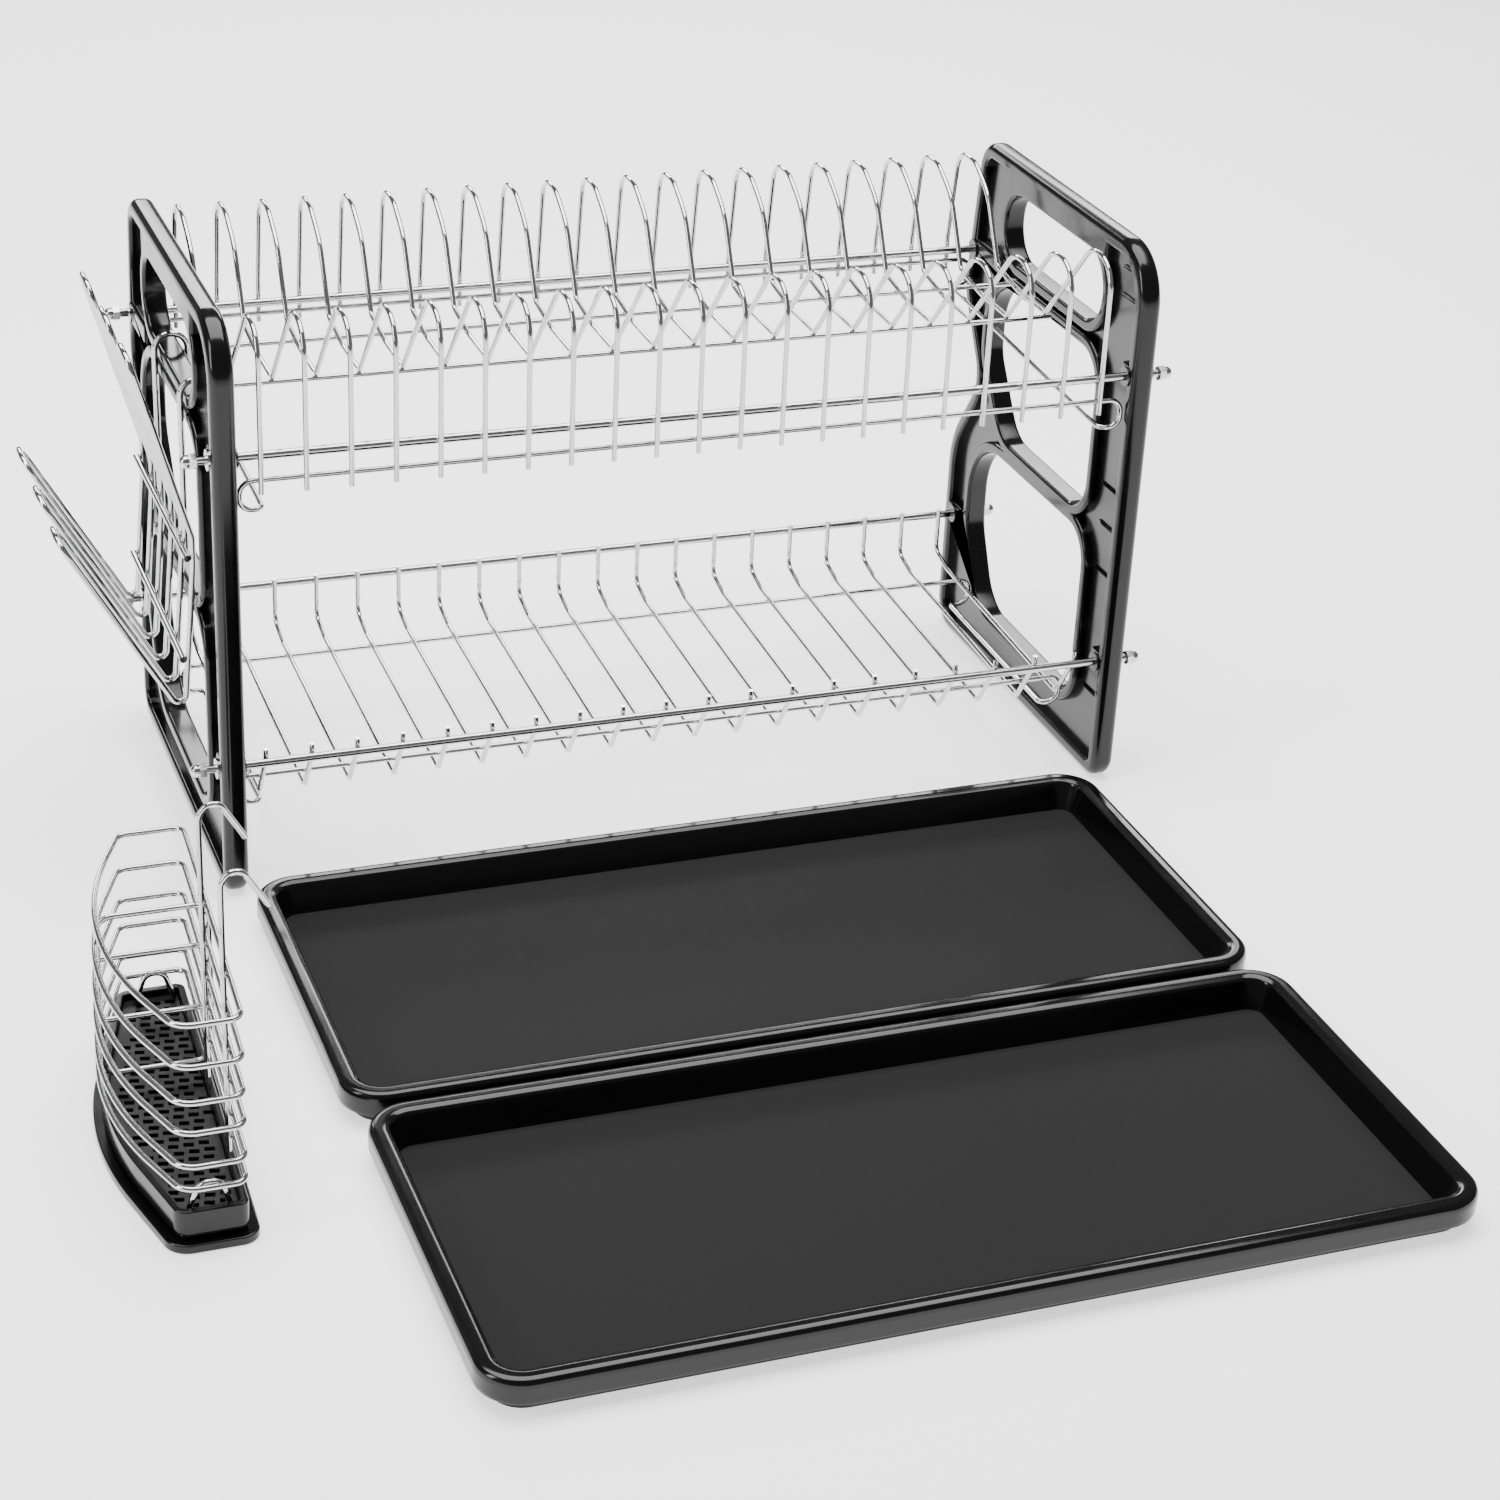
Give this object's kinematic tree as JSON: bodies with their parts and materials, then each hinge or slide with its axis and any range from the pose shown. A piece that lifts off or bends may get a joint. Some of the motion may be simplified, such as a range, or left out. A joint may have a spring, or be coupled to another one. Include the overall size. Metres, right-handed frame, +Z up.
{
  "type": "dish drying rack",
  "caption": "Two-tier chrome wire dish drying rack with moulded black side panels, a clip-on mug rack, a cutlery holder in a drip cup and separate black drip trays.",
  "frame": {"origin": "on the floor, under the middle of the box round the whole set, trays and cutlery holder included", "axes": "+X along the rack from the mug rack's end to the other, +Y from the trays towards the rack's back, +Z up"},
  "size_m": [0.6888, 0.7462, 0.344],
  "materials": {
    "panel_plastic": "glossy black moulded rim and lips, satin dark grey web",
    "plated_steel": "bright zinc or chrome plated fasteners and studs",
    "chrome_wire": "bright chrome plated wire",
    "cup_plastic": "glossy black",
    "grid_plastic": "satin black",
    "tray_plastic": "glossy black rim and walls, flat dark grey floor"
  },
  "bodies": {
    "rack": {"panel_left": "panel_plastic", "panel_right": "panel_plastic", "stud_upper_rear": "plated_steel", "stud_upper_front": "plated_steel", "stud_lower_rear": "plated_steel", "stud_lower_front": "plated_steel", "washers_inner": "plated_steel", "washers_outer": "plated_steel", "acorn_nuts": "plated_steel", "upper_wires": "chrome_wire", "upper_ring": "chrome_wire", "upper_rail_rear": "chrome_wire", "upper_rail_front": "chrome_wire", "lower_wires": "chrome_wire", "lower_ring": "chrome_wire"},
    "mug_rack": {"mug_loops": "chrome_wire", "mug_bars": "chrome_wire", "mug_hooks": "chrome_wire"},
    "cup": {"drip_cup": "cup_plastic"},
    "basket": {"basket_rings": "chrome_wire", "basket_divider": "chrome_wire", "basket_hooks": "chrome_wire", "basket_feet": "chrome_wire", "drip_grid": "grid_plastic", "grid_feet": "grid_plastic"},
    "tray_rear": {"tray_rear": "tray_plastic"},
    "tray_front": {"tray_front": "tray_plastic"}
  },
  "joints": [
    {"name": "mug_rack_lift", "type": "slide", "parent": "rack", "child": "mug_rack", "axis": [0, 0, 1], "range_m": [0, 0.03]},
    {"name": "cup_lift", "type": "slide", "parent": "rack", "child": "cup", "axis": [0, 0, 1], "range_m": [0, 0.1]},
    {"name": "basket_lift", "type": "slide", "parent": "cup", "child": "basket", "axis": [0, 0, 1], "range_m": [0, 0.12]},
    {"name": "tray_rear_lift", "type": "slide", "parent": "rack", "child": "tray_rear", "axis": [0, 0, 1], "range_m": [0, 0.1]},
    {"name": "tray_front_lift", "type": "slide", "parent": "rack", "child": "tray_front", "axis": [0, 0, 1], "range_m": [0, 0.1]}
  ]
}
